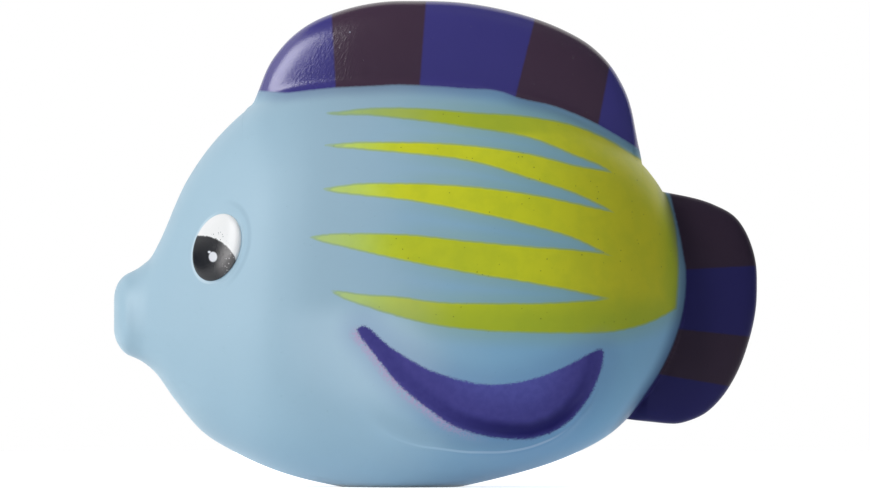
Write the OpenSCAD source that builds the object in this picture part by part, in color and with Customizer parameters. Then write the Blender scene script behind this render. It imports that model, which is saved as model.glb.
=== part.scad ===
// Squeaky bath toy: a hollow soft vinyl fish with a reed squeaker snapped into its belly.
// Millimetres. The snout points to -X and +Z is up. The belly stands on the plane z = 0, and
// the origin lies on that plane under the middle of the fish.

/* [Fish] */
// Length from the snout to the edge of the tail
toy_l = 90; // [80:1:110]
// Height from the belly flat to the top of the dorsal fin
toy_h = 68; // [60:1:84]
// Width across the flanks
toy_w = 44; // [38:1:56]
// Thickness of the vinyl wall
wall = 2; // [1.4:0.1:2.6]

/* [Fins and eyes] */
// Thickness of the dorsal fin at its root
dorsal_t = 11; // [8:0.5:14]
// Thickness of the tail fin at its root
tail_t = 8; // [6:0.5:10]
// Height of a pectoral fin above the flank
pectoral_lift = 1.5; // [0.8:0.1:2.2]
// Length of an eye
eye_l = 9.7; // [8:0.1:12]
// Width of an eye
eye_w = 6.3; // [5:0.1:8]
// Height of an eye above the head
eye_lift = 0.9; // [0.5:0.1:1.4]
// Lean of an eye's long axis towards the tail, in degrees
eye_tilt = 20; // [0:1:40]

/* [Squeeze] */
// Diameter of the patch of flank that a finger presses in
squeeze_d = 26; // [20:1:30]
// Gap round the patch, which stands in for the stretch of the vinyl
squeeze_gap = 0.25; // [0.15:0.05:0.4]

/* [Belly] */
// Thickness of the belly round the squeaker's hole
boss_h = 3.2; // [2.8:0.1:4]
// Diameter of the thick ring round that hole
boss_d = 16; // [15:0.5:18]

/* [Squeaker] */
// Hole in the belly that holds the squeaker
bore_d = 10; // [9.5:0.1:11]
// Diameter of the squeaker's flange
flange_d = 13; // [12.4:0.1:13.6]
// Thickness of the flange
flange_t = 0.8; // [0.6:0.1:1]
// Depth of the flange's face above the belly flat
flange_recess = 0.4; // [0.3:0.1:0.6]
// Height of the cup above the flange's face
cup_h = 8; // [7.4:0.1:10]
// Thickness of the cup's wall
cup_wall = 0.9; // [0.7:0.05:1]
// Thickness of the cup's floor
cup_floor = 1; // [0.8:0.1:1.4]
// How far the snap barb stands out from the cup
barb_out = 0.5; // [0.3:0.1:0.7]
// Height of the snap barb
barb_h = 1; // [0.8:0.1:1.4]
// Diameter of the hole that the sound comes out of
sound_d = 2.4; // [1.6:0.1:3]
// Thickness of the lid
lid_t = 0.9; // [0.7:0.1:1.2]
// Width of the ledge that the lid rests on
lid_ledge = 0.4; // [0.3:0.05:0.5]
// Diameter of each air hole in the lid
air_d = 1.4; // [1:0.1:1.6]
// Number of air holes in the lid
air_count = 3; // [2:1:3]

/* [Reed] */
// Height of the block that the reed lies over
block_h = 1.6; // [1.2:0.1:2]
// Length of the slot under the reed
slot_l = 4; // [3:0.1:4.4]
// Width of the slot under the reed
slot_w = 1.6; // [1.2:0.1:2]
// Free length of the reed past its bead
reed_l = 4.9; // [4.4:0.1:5.2]
// Width of the reed
reed_w = 2.8; // [2.4:0.1:3.2]
// Thickness of the reed
reed_t = 0.16; // [0.12:0.02:0.24]
// Diameter of the rolled bead at the reed's root
bead_d = 1; // [0.8:0.05:1.1]
// Height of the reed's middle above its block
reed_gap = 0.36; // [0.32:0.02:0.4]
// Height of the clamp over the reed's root
clamp_h = 1.5; // [1.3:0.1:1.8]

/* [Hidden] */
$fn = 64;

vinyl_blue = [0.62, 0.77, 0.86];
squeaker_white = [0.93, 0.93, 0.90];
reed_amber = [0.80, 0.62, 0.30];

// Overrun of every cut past the face that it opens
overrun = 1;
// Clearance of pieces that are pushed together
push_fit = 0.05;
// Running clearance of the reed's bead
bead_fit = 0.05;

// Outlines of the body, seen from the side: share of the length, share of the height.
// The belly dips below the floor here, and the belly flat cuts that dip off.
body_top_shares = [
    [0, .385], [.0078, .4225], [.014, .432], [.045, .457], [.0575, .472], [.07, .502], [.112, .6265],
    [.175, .738], [.2177, .7895], [.26, .8065], [.445, .829], [.63, .804], [.77, .722], [.846, .623],
    [.883, .507], [.891, .415]
];
body_bottom_shares = [
    [0, .325], [.0078, .29], [.014, .279], [.0513, .2505], [.0638, .236], [.0949, .1795], [.137, .1145],
    [.187, .0725], [.261, .0298], [.336, .0045], [.445, -.014], [.515, -.0055], [.554, .0045], [.6, .0185],
    [.709, .0645], [.771, .1085], [.841, .212], [.883, .33], [.891, .385]
];
// Outline of the body seen from above: share of the length, share of half the width
body_width_shares = [
    [0, 0], [.004, .125], [.0095, .195], [.017, .24], [.034, .268], [.05, .296], [.076, .382],
    [.112, .49], [.175, .67], [.245, .845], [.29, .91], [.35, .955], [.47, 1], [.6, .97], [.7, .87],
    [.78, .71], [.84, .5], [.875, .28], [.891, 0]
];
// Upper edge of the dorsal fin
dorsal_shares = [
    [.2195, .775], [.2364, .855], [.261, .9045], [.2985, .948], [.3485, .978], [.448, 1],
    [.547, .9955], [.622, .9765], [.697, .9415], [.7465, .902], [.784, .843], [.806, .77], [.8118, .729],
    [.822, .645]
];
// Edges of the tail fin, from inside the body to the end of the tail
tail_top_shares = [
    [.77, .615], [.862, .605], [.933, .5805], [.9705, .549], [.9829, .524], [.9922, .494], [1, .43]
];
tail_bottom_shares = [
    [.77, .15], [.834, .1335], [.871, .1295], [.896, .1365], [.921, .1525], [.946, .185],
    [.9705, .2385], [.989, .307], [1, .405]
];
// Upper edge and flared lower rim of a pectoral fin on the flank
pectoral_top_shares = [
    [.378, .331], [.445, .2505], [.507, .2136], [.585, .201], [.678, .226], [.762, .281]
];
pectoral_rim_shares = [
    [.378, .312], [.395, .19], [.429, .109], [.49, .079], [.569, .07], [.647, .081], [.7, .113],
    [.737, .168], [.762, .277]
];
// Places on the fish: share of the length, share of the height
eye_place_shares = [.1625, .489];
squeeze_place_shares = [.553, .47];
squeaker_place_share = .445;

// Roundness of the sections: 2 is an ellipse, and more is fuller
upper_power = 2.2;
lower_power = 2.8;
fin_power = 3;
fin_end_power = 3;
// Sharpness of the fillet where a fin grows out of the body
blend_power = 3;
// Flare of the pectoral fin towards its rim
pectoral_flare_power = 3;
// Width of the step under that rim, as a share of the fin's own width
pectoral_step_share = .15;

dorsal_from_share = dorsal_shares[0][0];
dorsal_to_share = dorsal_shares[len(dorsal_shares) - 1][0];
body_end_share = body_top_shares[len(body_top_shares) - 1][0];
tail_from_share = tail_top_shares[0][0];
body_l = toy_l*body_end_share;
// Stretch over which the tail fades in inside the body
tail_fade_share = .06;
// Depth of the dorsal fin's middle below the back
dorsal_root = dorsal_t/2;

// Rings along the fish, crowded at the ends of each stretch: from, to, count
ring_stretches = [
    [0, dorsal_from_share, 17], [dorsal_from_share, dorsal_to_share, 28],
    [dorsal_to_share, body_end_share, 15], [body_end_share, 1, 12]
];
chamber_stretches = [[0, 1, 26]];
// Points up a ring: up to the keel, just over where the tail leaves the belly, from there up to the
// shoulder, just under where the dorsal fin leaves the back, and above it
ring_rises = [8, 17, 10];
chamber_rises = 14;
// Heights of keel and shoulder in the ring, without tail and dorsal fin
keel_share = .06;
shoulder_share = .93;
// How strongly rings and points crowd: 0 is even, 1 is a cosine
crowd_share = .8;
// Reach and counts of the coarser rings round the patch that gives way
flank_reach_share = .22;
flank_rings = 12;
flank_rises = [2, 16, 3];
squeaker_x = toy_l*(squeaker_place_share - 1/2);

// Levels and radii in the squeaker
flange_top = flange_recess + flange_t;
neck_r = bore_d/2 - push_fit;
cup_r = neck_r - cup_wall;
cup_top = flange_recess + cup_h;
floor_top = flange_recess + cup_floor;
block_top = floor_top + block_h;
lid_bottom = cup_top - lid_t;
insert_r = cup_r - push_fit;
bead_z = block_top + reed_gap;
bead_x = -reed_l/2 - bead_d/4;
bead_hole_r = bead_d/2 + bead_fit;
reed_front = bead_x + reed_l;
clamp_top = block_top + clamp_h;
clamp_front = bead_x + bead_hole_r/2;
mouth_h = reed_gap + reed_t/2 + reed_gap/2;
air_ring_r = (cup_r + lid_ledge)/2;

// Place of p between a and b on a scale that is stretched towards both ends, from 0 to 1, so that
// a curve drawn on it can stand upright at its ends
function eased(p, a, b) = acos(1 - 2*min(1, max(0, (p - a)/(b - a))))/180;

// Slope of the curve through points at one of them, level where they turn back
function slope(knots, points, i) = let (
        last = len(points) - 1,
        before = i == 0 ? 0 : (points[i][1] - points[i - 1][1])/(knots[i] - knots[i - 1]),
        after = i == last ? 0 : (points[i + 1][1] - points[i][1])/(knots[i + 1] - knots[i])
    )
    i == 0 ? after : i == last ? before : before*after <= 0 ? 0 :
    (before*(knots[i + 1] - knots[i]) + after*(knots[i] - knots[i - 1]))/(knots[i + 1] - knots[i - 1]);

// Smooth curve through points [place, value], at place p
function curve(points, p) = let (
        last = len(points) - 1,
        a = points[0][0],
        b = points[last][0],
        knots = [for (q = points) eased(q[0], a, b)],
        place = eased(p, a, b),
        i = max([for (j = [0:last - 1]) if (j == 0 || knots[j] <= place) j]),
        run = knots[i + 1] - knots[i],
        t = (place - knots[i])/run
    )
    points[i][1]*(1 + 2*t)*pow(1 - t, 2) + points[i + 1][1]*t*t*(3 - 2*t) +
    run*(slope(knots, points, i)*t*pow(1 - t, 2) - slope(knots, points, i + 1)*t*t*(1 - t));

// Round bulge: 1 at u = 0 and 0 at u = 1 or -1
function bulge(u, power) = pow(max(0, 1 - pow(abs(u), power)), 1/power);

// Shares from a to b in n steps, crowded towards both ends
function crowded(a, b, n) = [
    for (i = [0:n - 1]) a + (b - a)*(crowd_share*(1 - cos(180*i/n))/2 + (1 - crowd_share)*i/n)
];
function stretches(list) = [for (s = list) each crowded(s[0], s[1], s[2]), list[len(list) - 1][1]];

// Half width of an upright oval or blade [bottom, top, half width] at height z
function oval(ring, z) = let (middle = (ring[0] + ring[1])/2, u = (z - middle)/(ring[1] - middle))
    ring[2]*bulge(u, u > 0 ? upper_power : lower_power);
function blade(ring, z) = let (middle = (ring[0] + ring[1])/2)
    ring[2]*bulge((z - middle)/(ring[1] - middle), fin_power);

// Body, dorsal fin and tail at share s of the length, each as [bottom, top, half width] or empty
function body_ring(s) = s > body_end_share ? [] :
    [toy_h*curve(body_bottom_shares, s), toy_h*curve(body_top_shares, s), toy_w/2*curve(body_width_shares, s)];
function dorsal_ring(s) = s <= dorsal_from_share || s >= dorsal_to_share ? [] : let (
        top = toy_h*curve(dorsal_shares, s),
        middle = toy_h*curve(body_top_shares, s) - dorsal_root,
        centre = (dorsal_from_share + dorsal_to_share)/2
    )
    [2*middle - top, top, dorsal_t/2*bulge((s - centre)/(dorsal_to_share - centre), fin_end_power)];
function tail_ring(s) = s <= tail_from_share ? [] : let (
        fade = min(1, (s - tail_from_share)/tail_fade_share),
        along = (s - tail_from_share)/(1 - tail_from_share)
    )
    [toy_h*curve(tail_bottom_shares, s), toy_h*curve(tail_top_shares, s), tail_t/2*fade*bulge(along, fin_power)];
function rings_at(s) = [body_ring(s), dorsal_ring(s), tail_ring(s)];

// Half width of the whole fish at height z of its rings
function half_width(rings, z) = let (
        body = rings[0] == [] ? 0 : oval(rings[0], z),
        dorsal = rings[1] == [] ? 0 : blade(rings[1], z),
        tail = rings[2] == [] ? 0 : blade(rings[2], z)
    )
    pow(pow(body, blend_power) + pow(dorsal, blend_power) + pow(tail, blend_power), 1/blend_power);

// Rise of a pectoral fin above the flank: it flares out to its rim and steps back under it
function pectoral_rise(s, z) = let (
        from = pectoral_top_shares[0][0],
        to = pectoral_top_shares[len(pectoral_top_shares) - 1][0],
        top = toy_h*curve(pectoral_top_shares, s),
        t = (top - z)/(top - toy_h*curve(pectoral_rim_shares, s))
    )
    s <= from || s >= to || t <= 0 ? 0 :
    pectoral_lift*sin(180*(s - from)/(to - from))
    *(t <= 1 ? pow(t, pectoral_flare_power) : max(0, 1 - (t - 1)/pectoral_step_share));

// One side of the fish at share s of its length: heights and half widths from belly to back, with
// rises[0] points up to the keel, rises[1] from there to the shoulder and rises[2] above it
function side(s, rises) = let (
        rings = rings_at(s),
        bottom = min([for (i = [0, 2]) if (rings[i] != []) rings[i][0]]),
        top = max([for (r = rings) if (r != []) r[1]]),
        belly = max(bottom, toy_h*curve(body_bottom_shares, min(s, body_end_share))),
        back = rings[1] == [] ? top : rings[0][1],
        keel = belly + keel_share*(back - belly),
        shoulder = belly + shoulder_share*(back - belly),
        heights = [
            each crowded(bottom, keel, rises[0]), each crowded(keel, shoulder, rises[1]),
            each crowded(shoulder, top, rises[2]), top
        ]
    )
    [for (z = heights) [z, half_width(rings, z) + pectoral_rise(s, z)]];

// The same for the air chamber: the body alone, drawn in by the wall towards its middle
function chamber_side(s, rises) = let (
        ring = body_ring(s*body_end_share),
        low = toy_h*min([for (q = body_bottom_shares) q[1]]),
        high = toy_h*max([for (q = body_top_shares) q[1]]),
        middle = (low + high)/2,
        drawn_in = 1 - wall/(middle - low)
    )
    [for (f = [each crowded(0, 1, rises), 1]) let (z = ring[0] + (ring[1] - ring[0])*f)
        [middle + (z - middle)*drawn_in, oval(ring, z)*(1 - 2*wall/toy_w)]];

// Closed skin over rings of equal count: xs are their places, and sides their left halves. The
// first and last rings are upright lines on the middle plane.
module skin(xs, sides) {
    last = len(xs) - 1;
    rise = len(sides[0]) - 1;
    round_count = 2*rise;
    points = [for (i = [0:last]) let (end = i == 0 || i == last) for (k = [0:round_count - 1])
        let (j = k <= rise ? k : round_count - k, flat = end || j == 0 || j == rise)
        [xs[i], flat ? 0 : k < rise ? -sides[i][j][1] : sides[i][j][1], sides[i][j][0]]];
    function at(i, k) = let (j = k % round_count, end = i == 0 || i == last)
        i*round_count + (end && j > rise ? round_count - j : j);
    // Each patch is cut across so that both sides match and no facet lies in the middle plane
    function patch(i, k) = let (
            a = at(i, k), b = at(i + 1, k), c = at(i + 1, k + 1), d = at(i, k + 1),
            left = k < rise,
            low = (left ? k : round_count - 1 - k) < rise/2,
            front = i < last/2
        )
        (low == front) == left ? [[a, c, b], [a, d, c]] : [[a, d, b], [b, d, c]];
    polyhedron(points, [for (i = [0:last - 1], k = [0:round_count - 1]) each patch(i, k)]);
}

// The fish as one block, over the given stretches of rings
module fish_block(ring_stretches, rises) {
    shares = stretches(ring_stretches);
    skin([for (s = shares) toy_l*(s - 1/2)], [for (s = shares) side(s, rises)]);
}

// The air inside it; a share of the chamber's length runs between its own two ends
module air_chamber(chamber_stretches) {
    shares = stretches(chamber_stretches);
    skin(
        [for (s = shares) -toy_l/2 + wall + s*(body_l - 2*wall)],
        [for (s = shares) chamber_side(s, chamber_rises)]
    );
}

// Raised oval eye that lies along the head, on the fish's left for a side of -1
module eye(side) {
    s = eye_place_shares[0];
    z = toy_h*eye_place_shares[1];
    step = eye_w/2;
    y = half_width(rings_at(s), z);
    along = (half_width(rings_at(s + step/toy_l), z) - half_width(rings_at(s - step/toy_l), z))/(2*step);
    up = (half_width(rings_at(s), z + step) - half_width(rings_at(s), z - step))/(2*step);
    out = [-along, side, -up]/norm([-along, side, -up])*eye_lift;
    length_way = [sin(eye_tilt), side*(along*sin(eye_tilt) + up*cos(eye_tilt)), cos(eye_tilt)]*eye_l/2;
    width_way = [cos(eye_tilt), side*(along*cos(eye_tilt) - up*sin(eye_tilt)), -sin(eye_tilt)]*eye_w/2;
    place = [toy_l*(s - 1/2), side*y, z];
    multmatrix([for (i = [0:2]) [width_way[i], length_way[i], out[i], place[i]]]) sphere(r = 1);
}

// A round bar through the flank, on the fish's left for a side of -1
module flank_bar(side, d) {
    x = toy_l*(squeeze_place_shares[0] - 1/2);
    translate([x, 0, toy_h*squeeze_place_shares[1]]) rotate([-90*side, 0, 0]) cylinder(d = d, h = toy_w);
}

module at_squeaker() {
    translate([squeaker_x, 0, 0]) children();
}

// The one-piece vinyl moulding: body, dorsal fin, tail, pectoral fins and eyes
module body_shell() {
    color(vinyl_blue) difference() {
        union() {
            fish_block(ring_stretches, ring_rises);
            for (side = [-1, 1]) eye(side);
        }
        difference() {
            air_chamber(chamber_stretches);
            at_squeaker() translate([0, 0, boss_h - toy_h]) cylinder(d = boss_d, h = toy_h);
        }
        translate([-toy_l, -toy_w, -toy_h]) cube([2*toy_l, 2*toy_w, toy_h]);
        at_squeaker() translate([0, 0, -overrun]) cylinder(d = bore_d, h = boss_h + 2*overrun);
        at_squeaker() translate([0, 0, -overrun])
            cylinder(d = flange_d + 2*push_fit, h = flange_top + overrun);
        for (side = [-1, 1]) flank_bar(side, squeeze_d + 2*squeeze_gap);
    }
}

// The patch of the moulding that gives way under a finger
module flank(side) {
    from = squeeze_place_shares[0] - flank_reach_share;
    to = squeeze_place_shares[0] + flank_reach_share;
    chamber_l = body_l - 2*wall;
    color(vinyl_blue) intersection() {
        difference() {
            fish_block([[from, to, flank_rings]], flank_rises);
            air_chamber([[(toy_l*from - wall)/chamber_l, (toy_l*to - wall)/chamber_l, flank_rings]]);
        }
        flank_bar(side, squeeze_d);
    }
}

// Flanged cup, held in the belly between its flange and its snap barb
module squeaker_cup() {
    barb_foot = boss_h + push_fit;
    color(squeaker_white) at_squeaker() rotate_extrude() polygon([
        [sound_d/2, flange_recess],
        [flange_d/2, flange_recess],
        [flange_d/2, flange_top],
        [neck_r, flange_top],
        [neck_r, barb_foot],
        [neck_r + barb_out, barb_foot],
        [neck_r, barb_foot + barb_h],
        [neck_r, cup_top],
        [cup_r + lid_ledge, cup_top],
        [cup_r + lid_ledge, lid_bottom],
        [cup_r, lid_bottom],
        [cup_r, floor_top],
        [sound_d/2, floor_top]
    ]);
}

// Cylinder along the reed's bead
module bead_bar(d, l) {
    translate([bead_x, 0, bead_z]) rotate([90, 0, 0]) cylinder(d = d, h = l, center = true);
}

// Round block on the cup's floor, with the slot that the reed beats over
module reed_block() {
    color(squeaker_white) at_squeaker() difference() {
        translate([0, 0, floor_top]) cylinder(r = insert_r, h = block_h);
        translate([-slot_l/2, -slot_w/2, floor_top - overrun]) cube([slot_l, slot_w, block_h + 2*overrun]);
        bead_bar(2*bead_hole_r, reed_w + 2*bead_fit);
    }
}

// Thin tongue with a rolled bead at its root
module reed() {
    color(reed_amber) at_squeaker() {
        bead_bar(bead_d, reed_w);
        translate([bead_x, -reed_w/2, bead_z - reed_t/2]) cube([reed_l, reed_w, reed_t]);
    }
}

// The part of the cup that lies behind the tongue, down to the block
module behind_tongue(from_z, to_z) {
    intersection() {
        translate([0, 0, from_z]) cylinder(r = insert_r, h = to_z - from_z);
        translate([-cup_r, -cup_r, from_z]) cube([cup_r + clamp_front, 2*cup_r, to_z - from_z]);
    }
}

// Segment that holds the bead down on the block, with a mouth for the tongue
module reed_clamp() {
    color(squeaker_white) at_squeaker() difference() {
        behind_tongue(block_top, clamp_top);
        bead_bar(2*bead_hole_r, reed_w + 2*bead_fit);
        translate([bead_x, -reed_w/2 - bead_fit, block_top - overrun])
            cube([reed_l, reed_w + 2*bead_fit, mouth_h + overrun]);
    }
}

// Lid with air holes, whose foot presses the clamp down
module squeaker_lid() {
    color(squeaker_white) at_squeaker() difference() {
        union() {
            translate([0, 0, lid_bottom]) cylinder(r = cup_r + lid_ledge - push_fit, h = lid_t);
            behind_tongue(clamp_top, lid_bottom);
        }
        for (i = [1:air_count]) rotate([0, 0, 180*(i/(air_count + 1) - 1/2)])
            translate([air_ring_r, 0, lid_bottom - overrun]) cylinder(d = air_d, h = lid_t + 2*overrun);
    }
}

body_shell();
flank(-1);  // left_flank
flank(1);  // right_flank
squeaker_cup();
reed_block();
reed();
reed_clamp();
squeaker_lid();
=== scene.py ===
import math

import bpy
import numpy as np
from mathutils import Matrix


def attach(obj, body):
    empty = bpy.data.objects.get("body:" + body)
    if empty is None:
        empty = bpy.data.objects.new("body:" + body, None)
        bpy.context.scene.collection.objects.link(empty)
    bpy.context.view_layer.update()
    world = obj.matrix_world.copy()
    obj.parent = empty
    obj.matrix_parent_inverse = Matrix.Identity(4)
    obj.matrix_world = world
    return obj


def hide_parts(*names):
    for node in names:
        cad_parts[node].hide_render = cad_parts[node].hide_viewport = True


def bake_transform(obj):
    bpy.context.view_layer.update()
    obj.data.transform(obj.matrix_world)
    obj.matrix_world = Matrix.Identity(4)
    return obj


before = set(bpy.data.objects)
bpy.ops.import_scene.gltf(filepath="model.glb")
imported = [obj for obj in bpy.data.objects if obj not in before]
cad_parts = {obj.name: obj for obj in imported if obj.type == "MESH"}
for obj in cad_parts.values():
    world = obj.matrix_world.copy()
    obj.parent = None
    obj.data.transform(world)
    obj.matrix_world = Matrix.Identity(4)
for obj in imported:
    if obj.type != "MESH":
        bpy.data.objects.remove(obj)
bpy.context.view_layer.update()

MM = 0.001

# The fish, in millimetres. +X runs from snout to tail and +Z is up.
TOY_L, TOY_H, TOY_W = 90.0, 68.0, 44.0
DORSAL_T, TAIL_T = 11.0, 8.0
UPPER_POWER, LOWER_POWER, FIN_POWER, BLEND_POWER = 2.2, 2.8, 3.0, 3.0
DORSAL_END_POWER = 2.5

# Outlines as shares of length and height, or of half the width
BODY_TOP = [
    (0, .385), (.0078, .4225), (.014, .432), (.045, .457), (.0575, .472), (.07, .502), (.112, .6265),
    (.175, .738), (.2177, .7855), (.26, .8075), (.445, .829), (.63, .804), (.77, .722), (.846, .623),
    (.883, .507), (.891, .415),
]
BODY_BOTTOM = [
    (0, .325), (.0078, .29), (.014, .279), (.0513, .2505), (.0638, .236), (.0949, .1795), (.137, .1145),
    (.187, .0725), (.261, .0298), (.336, .0045), (.445, -.014), (.515, -.0055), (.554, .0045), (.6, .0185),
    (.709, .0645), (.771, .1085), (.841, .212), (.883, .33), (.891, .385),
]
BODY_WIDTH = [
    (0, 0), (.004, .12), (.0095, .185), (.017, .228), (.034, .262), (.05, .296), (.076, .382),
    (.112, .49), (.175, .67), (.245, .845), (.29, .91), (.35, .955), (.47, 1), (.6, .97), (.7, .87),
    (.78, .71), (.84, .5), (.875, .28), (.891, 0),
]
DORSAL_EDGE = [
    (.2, .762), (.2084, .7805), (.2177, .7925), (.2271, .8235), (.2364, .855), (.261, .9045),
    (.2985, .948), (.3485, .978), (.448, 1),
    (.547, .9955), (.622, .9765), (.697, .9415), (.7465, .902), (.784, .843), (.806, .77), (.8118, .729),
    (.822, .645),
]
TAIL_TOP = [
    (.77, .615), (.862, .605), (.933, .5805), (.9705, .549), (.9829, .524), (.9922, .494), (1, .43),
]
TAIL_BOTTOM = [
    (.77, .15), (.834, .1335), (.871, .1295), (.896, .1365), (.921, .1525), (.946, .185),
    (.9705, .2385), (.989, .307), (1, .405),
]
DORSAL_FROM, DORSAL_TO = DORSAL_EDGE[0][0], DORSAL_EDGE[-1][0]
BODY_END = BODY_TOP[-1][0]
TAIL_FROM, TAIL_FADE = TAIL_TOP[0][0], .06

# Hole in the belly for the squeaker
SQUEAKER_SHARE = .445
SQUEAKER_X = TOY_L*(SQUEAKER_SHARE - .5)
SEAT_R, SEAT_DEPTH, BORE_R, LIP_R = 6.55, 1.2, 5.05, 6.75
# Section of that hole from its rounded lip inwards: radius and height
SEAT_PROFILE = [
    (LIP_R - .1, .02), (LIP_R - .17, .07), (SEAT_R, .2), (SEAT_R, SEAT_DEPTH), (BORE_R, SEAT_DEPTH),
    (BORE_R, SEAT_DEPTH + 2),
]

# Scooped pectoral fin on the flank: its upper edge and its flared rim, in millimetres
PECTORAL_TOP = [
    (-11.0, 22.4), (-7.0, 20.2), (-.9, 16.4), (2.9, 15.2), (7.0, 14.3), (11.6, 14.7), (15.2, 15.7),
    (19.0, 17.4), (23.7, 19.7),
]
PECTORAL_RIM = [
    (-11.0, 11.5), (-6.6, 7.5), (-2.7, 6.0), (.6, 5.5), (5.4, 5.0), (10.1, 5.1), (14.4, 6.1),
    (17.6, 7.7), (19.9, 9.8), (22.3, 13.5), (23.7, 19.2),
]
# Its relief from the upper edge (0) to the rim (1) and below it, in millimetres
PECTORAL_PROFILE = [
    (0, 0), (.2, .2), (.45, .32), (.6, .22), (.76, -.22), (.86, .1), (.97, .85), (1, .95), (1.04, .9),
    (1.1, .5), (1.25, .1), (1.45, 0),
]
# Where the relief of that fin fades in at its front and at its rear, its least height, and its end below
PECTORAL_FRONT, PECTORAL_REAR, PECTORAL_LEAST_H, PECTORAL_END = (-11, 2), (23.6, 18.6), .8, 1.5

# Eye on the head
EYE_X, EYE_Z = -30.4, 33.5
EYE_L, EYE_W, EYE_LIFT, EYE_LEAN, EYE_TILT = 9.7, 6.3, .75, .12, math.radians(20)
EYE_CROWN_POWER, EYE_ROOT, EYE_ROOT_POWER, EYE_SLOPE_STEP = 2.6, .6, 2, .05
# Groove round the back of the eye: its depth, its middle and half width in the eye's oval measure, its fade
SOCKET_DEPTH, SOCKET_AT, SOCKET_SPAN, SOCKET_FADE = .12, 1.12, .13, 3

# Sprayed flames: place along the fish, upper edge, lower edge
FLAMES = [
    [(-15.2, 52.2, 52.2), (-13.9, 52.3, 52.0), (-10.7, 52.7, 52.0), (-4.9, 52.9, 51.5), (6.2, 52.2, 50.0),
     (13.0, 51.7, 48.8), (19.9, 50.3, 46.1), (24.2, 48.5, 44.1), (28.4, 46.0, 39.5), (34.6, 43.0, 34.0)],
    [(-15.3, 47.7, 47.7), (-13.9, 47.8, 47.5), (-10.7, 48.1, 47.2), (-4.9, 48.1, 46.7), (6.2, 47.5, 45.2),
     (13.0, 46.5, 43.1), (19.9, 44.8, 40.8), (24.1, 44.1, 38.7), (34.6, 42.0, 30.0)],
    [(-15.5, 41.6, 41.6), (-13.9, 41.9, 41.2), (-10.7, 42.3, 40.8), (-4.9, 42.4, 40.2), (6.2, 41.8, 38.2),
     (13.0, 40.9, 36.6), (19.9, 39.5, 34.5), (23.7, 38.7, 32.6), (34.6, 37.0, 26.0)],
    [(-17.3, 34.9, 34.9), (-15.6, 35.2, 34.3), (-12.7, 35.4, 33.6), (-10.7, 35.4, 33.1), (-4.9, 35.3, 31.8),
     (6.2, 34.2, 29.7), (13.0, 33.6, 28.6), (19.9, 33.1, 27.3), (23.8, 32.6, 26.4), (34.6, 31.0, 25.5)],
    [(-14.4, 27.4, 27.4), (-12.7, 27.3, 26.4), (-10.7, 27.0, 25.7), (-4.9, 26.6, 23.9), (-.8, 26.0, 22.9),
     (6.2, 25.7, 22.0), (13.0, 25.7, 21.7), (19.9, 26.0, 21.6), (23.8, 26.4, 21.7), (26.9, 27.4, 22.2),
     (30.2, 29.0, 23.2), (34.6, 31.0, 25.5)],
]
# Line in front of the tail that the flames end at: height, place along the fish
FLAME_REAR = [(25.0, 33.6), (29.9, 33.9), (34.7, 33.7), (38.4, 33.1), (40.8, 32.3), (46.0, 29.0)]

# Painted fins: lower edge of the coat on the dorsal fin, and front edge of the coat on the tail
DORSAL_COAT = [
    (-26.0, 55.5), (-24.5, 55.4), (-21.0, 55.1), (-18.0, 55.4), (-14.0, 55.8), (-9.6, 56.0), (-5.0, 56.2),
    (-2.2, 56.1), (3.7, 55.7), (9.6, 55.1), (11.2, 54.5), (16.6, 53.2), (22.4, 50.8), (25.6, 49.0),
    (29.5, 46.6),
]
TAIL_COAT = [
    (8.0, 25.8), (9.7, 27.0), (11.6, 28.3), (16.5, 31.5), (20.6, 33.4), (25.5, 34.7), (29.7, 35.0),
    (33.2, 34.5), (38.5, 33.4), (40.9, 32.8), (43.0, 32.2),
]
# Dark bands on the dorsal fin, each between two slanting lines given as (x, z) ends
DORSAL_BANDS = [
    [((-14.5, 65.5), (-14.0, 56.3)), ((-1.3, 68.0), (-2.2, 56.1))],
    [((13.8, 65.1), (11.2, 54.7)), ((24.2, 58.1), (22.8, 50.8))],
]
# Dark bands on the tail, each between two lines that run backwards
TAIL_BANDS = [
    [((34.8, 50.0), (44.3, 50.0)), ((34.8, 30.4), (44.3, 30.9))],
    [((33.8, 22.1), (43.5, 21.1)), ((31.6, 15.7), (40.9, 14.1))],
]
# Crescent on the pectoral fin: its upper edge from front to rear, and its lower edge back again
CRESCENT_TOP = [
    (-10.9, 22.5), (-9.5, 22.7), (-7.0, 20.2), (-4.7, 18.6), (-.9, 16.4), (2.9, 15.2), (7.0, 14.3),
    (11.6, 14.7), (15.2, 15.7), (19.0, 17.4), (21.5, 18.8), (23.0, 19.5),
]
CRESCENT_BOTTOM = [
    (23.4, 19.1), (23.4, 18.2), (23.0, 16.0), (21.5, 12.6), (19.0, 9.5), (16.5, 7.8), (13.5, 6.8),
    (10.3, 6.8), (7.0, 7.2), (4.1, 8.0), (1.6, 9.1), (-1.3, 11.3), (-3.8, 13.2), (-6.3, 15.7),
    (-8.3, 18.5), (-10.8, 21.4),
]
# Behind this place the painted fin is the tail, and this distance stands for no coat at all
TAIL_COAT_FROM, NO_COAT = 30, 9
# Points along the edges of a flame and of the scoop, to measure distances from
FLAME_POINTS, SCOOP_POINTS = 60, 90
# A distance beyond all others, and a length too small to matter
FAR_OFF, TINY = 1e9, 1e-12
# Points nearer to the middle plane than this lie on it, in metres
SEAM_NEAR = 1e-6

# Rings along the fish: their usual step, their step at a sharp place, and how fast it grows from there
RING_STEP, RING_STEP_SHARP, RING_GROWTH = .30, .04, .25
# Rows up a flank, and the share of them that makes way for the hole in the belly
ROWS, HOLE_ROWS = 260, .2
# Points to work out a stretch of rings and a ring on, and those of a ring that lie on the belly
STRETCH_POINTS, RING_POINTS, BELLY_POINTS = 500, 700, 200
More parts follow.
